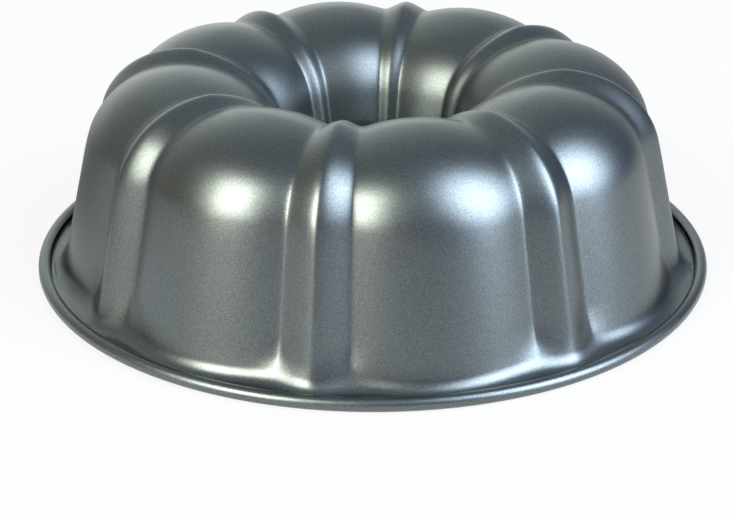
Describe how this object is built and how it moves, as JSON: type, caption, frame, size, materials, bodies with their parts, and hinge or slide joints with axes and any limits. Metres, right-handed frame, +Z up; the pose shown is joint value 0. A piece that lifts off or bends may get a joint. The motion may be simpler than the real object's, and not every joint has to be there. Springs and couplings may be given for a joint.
{
  "type": "fluted tube pan",
  "caption": "Ring cake pan of coated sheet, standing upside down, with roof-shaped ribs and wide lobes, a rolled wired rim and a tapered centre tube.",
  "frame": {"origin": "centre of the rim's rest plane, under the middle of the tube, with the pan upside down", "axes": "+Z up along the tube's axis, from the rim towards the crown; a rib lies on each of -Y, +X, +Y and -X"},
  "size_m": [0.266, 0.266, 0.0803],
  "materials": {
    "coated_sheet": "dark grey satin non-stick coating with a fine metallic sparkle",
    "rim_wire": "plain drawn steel wire"
  },
  "bodies": {
    "root": {"pan_shell": "coated_sheet", "centre_tube": "coated_sheet", "rim_wire": "rim_wire"}
  },
  "joints": []
}
